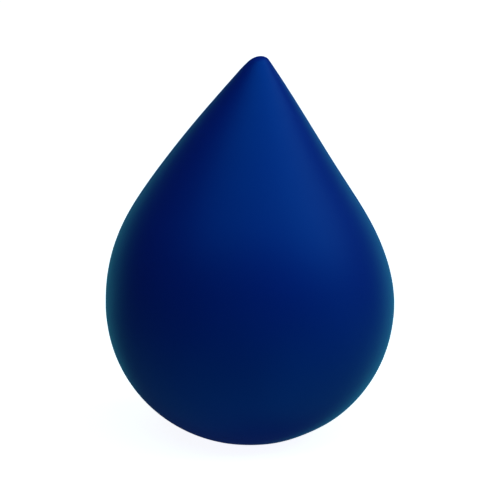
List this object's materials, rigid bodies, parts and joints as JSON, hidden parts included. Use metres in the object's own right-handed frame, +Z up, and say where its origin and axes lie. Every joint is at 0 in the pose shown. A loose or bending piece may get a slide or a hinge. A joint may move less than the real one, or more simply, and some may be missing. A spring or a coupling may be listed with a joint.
{
  "type": "stress ball",
  "caption": "Drop-shaped soft foam stress ball: a round bowl with a flat base, drawn up to a rounded point, in a blue matte coat, squeezed in the hand.",
  "frame": {"origin": "centre of the flat base", "axes": "+Z up to the point, -Y the front half, +X to the right seen from the front; the mould halves meet on the plane Y = 0"},
  "size_m": [0.065, 0.065, 0.0875],
  "materials": {
    "skin_coat": "blue in-mould polyurethane coat over foam skin, matte with a soft sheen",
    "foam": "open-cell flexible polyurethane foam, cream, matte",
    "touch_up": "brushed-on dab of the same blue coat, slightly glossier"
  },
  "bodies": {
    "back": {"skin_back": "skin_coat", "foam_core": "foam", "gate_patch": "touch_up"},
    "front": {"skin_front": "skin_coat"}
  },
  "joints": [
    {"name": "squeeze", "type": "slide", "parent": "back", "child": "front", "axis": [0, 1, 0], "range_m": [0, 0.026], "stiffness_N_per_m": 1500, "deforming": ["skin_front", "skin_back", "foam_core", "gate_patch"]}
  ]
}
